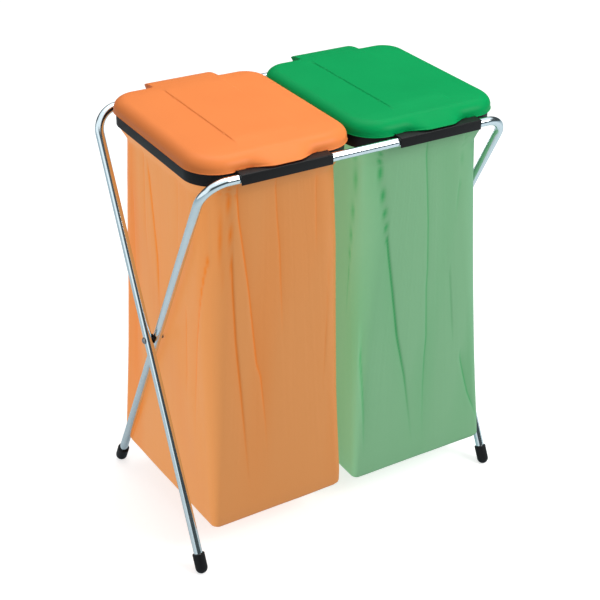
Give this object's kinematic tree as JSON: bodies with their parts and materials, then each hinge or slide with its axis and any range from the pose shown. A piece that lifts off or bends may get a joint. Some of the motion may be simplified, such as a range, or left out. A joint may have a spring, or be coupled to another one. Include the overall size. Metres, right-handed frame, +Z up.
{
  "type": "trash bag stand",
  "caption": "Folding tube stand with two side-by-side ring holders for trash bags, each with a film bag and a hinged domed lid, one orange and one green.",
  "frame": {"origin": "on the floor under the middle of the stand, halfway between the two bags", "axes": "+Z up, +X to the right along the bars as seen from the front, +Y to the rear, where the lids are hinged"},
  "size_m": [0.7494, 0.4552, 0.8991],
  "materials": {
    "bright_tube": "bright zinc or chrome plated",
    "rivet_steel": "dark satin",
    "black_plastic": "satin moulded",
    "black_rubber": "matt",
    "orange_plastic": "satin moulded",
    "green_plastic": "satin moulded",
    "orange_film": "translucent film",
    "green_film": "translucent film"
  },
  "bodies": {
    "rear_frame": {"rear_bar_frame": "bright_tube", "foot_cap_front_left": "black_rubber", "foot_cap_front_right": "black_rubber", "pivot_rivet_left": "rivet_steel", "pivot_rivet_right": "rivet_steel", "pivot_spacer_left": "black_plastic", "pivot_spacer_right": "black_plastic"},
    "front_frame": {"front_bar_frame": "bright_tube", "foot_cap_rear_left": "black_rubber", "foot_cap_rear_right": "black_rubber"},
    "left_ring": {"bag_ring_left": "black_plastic", "bag_hoop_left": "black_plastic", "lid_hinge_pin_left": "rivet_steel", "film_bag_left": "orange_film"},
    "right_ring": {"bag_ring_right": "black_plastic", "bag_hoop_right": "black_plastic", "lid_hinge_pin_right": "rivet_steel", "film_bag_right": "green_film"},
    "left_lid": {"lid_left": "orange_plastic"},
    "right_lid": {"lid_right": "green_plastic"}
  },
  "joints": [
    {"name": "frame_fold", "type": "hinge", "parent": "rear_frame", "child": "front_frame", "pos_m": [0, 0, 0.4369], "axis": [-1, 0, 0], "range_deg": [0, 44]},
    {"name": "left_ring_lift", "type": "hinge", "parent": "rear_frame", "child": "left_ring", "pos_m": [-0.173, 0.2125, 0.857], "axis": [-1, 0, 0], "range_deg": [0, 110], "deforming": ["film_bag_left"]},
    {"name": "right_ring_lift", "type": "hinge", "parent": "rear_frame", "child": "right_ring", "pos_m": [0.173, 0.2125, 0.857], "axis": [-1, 0, 0], "range_deg": [0, 110], "deforming": ["film_bag_right"]},
    {"name": "left_lid_open", "type": "hinge", "parent": "left_ring", "child": "left_lid", "pos_m": [-0.173, 0.215, 0.874], "axis": [-1, 0, 0], "range_deg": [0, 95]},
    {"name": "right_lid_open", "type": "hinge", "parent": "right_ring", "child": "right_lid", "pos_m": [0.173, 0.215, 0.874], "axis": [-1, 0, 0], "range_deg": [0, 95]}
  ],
  "couplings": [
    {"joint": "left_ring_lift", "follows": "frame_fold", "ratio": 2.5},
    {"joint": "right_ring_lift", "follows": "frame_fold", "ratio": 2.5}
  ]
}
